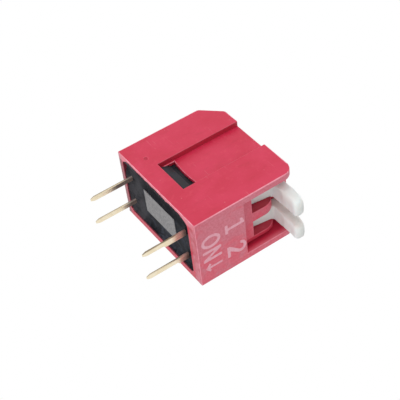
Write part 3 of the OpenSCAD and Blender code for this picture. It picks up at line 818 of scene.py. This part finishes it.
def softened(points, radius):
    """The outline with each corner replaced by a short arc of three points."""
    outline = []
    for k, point in enumerate(points):
        here = Vector(point)
        before = Vector(points[k - 1]) - here
        after = Vector(points[(k + 1) % len(points)]) - here
        turn = math.pi - before.angle(after)
        if turn < math.radians(STRAIGHT):
            outline.append(here)
            continue
        cut = radius * math.tan(turn / 2) + 0.01
        cut = min(cut, before.length * 0.45, after.length * 0.45)
        start = here + before.normalized() * cut
        end = here + after.normalized() * cut
        middle = (start + end) / 2
        outline += [start, middle + (here - middle) * 0.4, end]
    return outline


def arc(cx, cz, rx, rz, start, end, steps):
    angles = [math.radians(start + (end - start) * k / steps) for k in range(steps + 1)]
    return [(cx + rx * math.cos(angle), cz + rz * math.sin(angle)) for angle in angles]


def digit_1():
    x, low, high = -1.11, 2.60, 4.38
    half, foot = STROKE / 2, low + STROKE
    outline = [(x - 0.49, low), (x + 0.43, low), (x + 0.43, foot), (x + half, foot),
               (x + half, high), (x - 0.05, high), (x - 0.45, high - 0.16),
               (x - 0.45, high - 0.40), (x - half, high - 0.30), (x - half, foot),
               (x - 0.49, foot)]
    return [softened(outline, 0.05)]


def digit_2():
    x, low = 1.40, 2.62
    outer = arc(x, low + 1.24, 0.58, 0.54, 180, -28, 16)
    inner = arc(x, low + 1.26, 0.30, 0.27, -28, 180, 12)
    foot = [(x - 0.04, low + STROKE), (x + 0.58, low + STROKE), (x + 0.58, low),
            (x - 0.58, low), (x - 0.58, low + 0.22)]
    return [softened(outer + foot + inner, 0.03)]


def letter_o():
    return [arc(-0.94, 1.26, rx, rz, 0, 360, 32)[:-1] for rx, rz in ((0.66, 0.88), (0.39, 0.62))]


def letter_n():
    left, right, low, high, notch = -0.06, 1.06, 0.42, 2.12, 0.5
    inner_left, inner_right = left + STROKE, right - STROKE
    outline = [(left, low), (inner_left, low), (inner_left, high - notch), (inner_right, low),
               (right, low), (right, high), (inner_right, high), (inner_right, low + notch),
               (inner_left, high), (left, high)]
    return [softened(outline, 0.05)]


def arrow():
    x, top, tip = 1.83, 2.10, 0.52
    half, barb_x, barb = 0.10, 0.30, 0.15
    neck = tip + 0.34
    barb_z = neck + barb_x - half
    left = [(x - half, top), (x - half, neck), (x - barb_x, barb_z),
            (x - barb_x - barb, barb_z - barb)]
    right = [(2 * x - px, pz) for px, pz in reversed(left)]
    return [softened(left + [(x, tip)] + right, 0.04)]


def printed(rings):
    """A slab of ink on the plate, from an outline and perhaps a hole in it."""
    shape = bmesh.new()
    front, back = ([[vertex(shape, x, y, z) for x, z in ring] for ring in rings]
                   for y in (FRONT_Y - INK, FRONT_Y + INK_SUNK))
    for layer in (front, back):
        if len(layer) == 2:
            bridge(shape, *layer)
        else:
            shape.faces.new(layer[0])
    for front_ring, back_ring in zip(front, back):
        bridge(shape, front_ring, back_ring)
    bmesh.ops.recalc_face_normals(shape, faces=shape.faces)
    if len(rings) == 1:
        bmesh.ops.triangulate(shape, faces=shape.faces)
    return shape


# ---- Stage ----

WHITE = (1.0, 1.0, 1.0, 1.0)
PAPER = (0.86, 0.86, 0.86, 1.0)
SOFT_LIGHT = (-0.69, -0.09, -0.72)      # where most of the soft light comes from
SOFT_LEVEL = 0.71                       # its middle level
SOFT_CHANGE = 0.55                      # how much brighter it is there
FLOOR_RADIUS = 160
FLOOR_FADE = (20, 110)                  # the floor fades into the backdrop between these


def add_lamp(name, place, size, strength, glossy=True):
    """A square soft box that faces the object; strength is its radiance, 1 for white."""
    data = bpy.data.lights.new(name, "AREA")
    data.shape = "SQUARE"
    data.size = size * MM
    data.energy = strength * math.pi * data.size ** 2
    lamp = bpy.data.objects.new(name, data)
    bpy.context.scene.collection.objects.link(lamp)
    lamp.location = Vector(place) * MM
    lamp.rotation_euler = Vector(place).to_track_quat("Z", "Y").to_euler()
    lamp.visible_glossy = glossy
    lamp.visible_camera = False


def add_world():
    """White to the camera and in reflections, dimmer as the light that falls on the object."""
    world = bpy.data.worlds.new("studio")
    bpy.context.scene.world = world
    world.use_nodes = True
    nodes = Nodes(world.node_tree)
    path = nodes.add("LightPath").outputs
    seen = nodes.most(*(path[f"Is {ray} Ray"] for ray in ("Camera", "Glossy", "Transmission")))
    way = nodes.add("TexCoord").outputs["Generated"]
    toward = nodes.vector_math("DOT_PRODUCT", way, Vector(SOFT_LIGHT).normalized())
    soft = nodes.remap(toward, -1.0, 1.0, SOFT_LEVEL - SOFT_CHANGE, SOFT_LEVEL + SOFT_CHANGE,
                       curve="LINEAR")
    level = nodes.remap(seen, 0.0, 1.0, soft, 1.0, curve="LINEAR")
    nodes.fill(nodes.tree.nodes["Background"].inputs, WHITE, level)


def add_floor():
    """Pale floor under the pins, seen from above only, that fades into the backdrop."""
    bpy.ops.mesh.primitive_circle_add(vertices=96, radius=FLOOR_RADIUS * MM, fill_type="NGON",
                                      location=(0, 0, (PIN_TIP_Z - 0.005) * MM))
    floor = bpy.context.object
    floor.name = "floor"
    material = bpy.data.materials.new("pale_floor")
    material.use_nodes = True
    nodes = Nodes(material.node_tree)
    nodes.tree.nodes.clear()
    paper = nodes.add("BsdfDiffuse")
    nodes.put(PAPER, paper.inputs["Color"])
    away = nodes.vector_math("LENGTH", nodes.add("TexCoord").outputs["Object"])
    fade = nodes.remap(away, FLOOR_FADE[0] * MM, FLOOR_FADE[1] * MM)
    faded = nodes.blend(fade, paper, nodes.add("Emission"))
    camera = nodes.add("LightPath").outputs["Is Camera Ray"]
    below = nodes.add("NewGeometry").outputs["Backfacing"]
    from_above = nodes.math("GREATER_THAN", camera, below)
    shown = nodes.blend(from_above, nodes.add("BsdfTransparent"), faded)
    nodes.put(shown.outputs[0], nodes.add("OutputMaterial").inputs["Surface"])
    floor.data.materials.append(material)


# ---- Scene ----

bpy.context.scene.view_settings.view_transform = "Standard"
add_camera()
add_world()
add_floor()
# The key light stands beside position 1, the others above the switch and behind it
add_lamp("key_light", (-300, -100, -60), 220, 0.3)
add_lamp("top_light", (50, 60, 320), 240, 1.3)
add_lamp("fill_light", (280, 180, 40), 240, 1.5, glossy=False)

red = housing_material()
black = base_material()
epoxy = sealant_material()
white = key_material()
gold = gold_material()
ink = ink_material()

housing = rounded("housing", 0.05, outer_wear_and_highlight)
add_piece("red_housing", housing, red, "switch_body", "housing")
add_piece("black_base", rounded("base", 0.03), black, "switch_body", "base")
for n in (1, 2):
    add_piece(f"white_key_{n}", moulded(f"key_{n}"), white, f"rocker_{n}",
              f"key_{n}", KEY_SMOOTH_BELOW)
    for row in ("front", "back"):
        terminal = f"{row}_terminal_{n}"
        pin = rounded(terminal, 0.03)
        narrow_tip(pin)
        if row == "front":
            widen_root(pin, ROOT_ENDS[n - 1])
        add_piece(f"gold_{row}_pin_{n}", pin, gold, "switch_body", terminal)
    # The wipers keep their CAD shape
    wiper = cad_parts[f"wiper_{n}"]
    wiper.data.materials.clear()
    wiper.data.materials.append(gold)
add_piece("poured_sealant", poured(), epoxy, "switch_body", "base_sealant")
add_piece("epoxy_smear", smeared(), epoxy, "switch_body")
for sign, rings in (("digit_1", digit_1()), ("digit_2", digit_2()), ("letter_o", letter_o()),
                    ("letter_n", letter_n()), ("arrow", arrow())):
    add_piece("print_" + sign, printed(rings), ink, "switch_body")
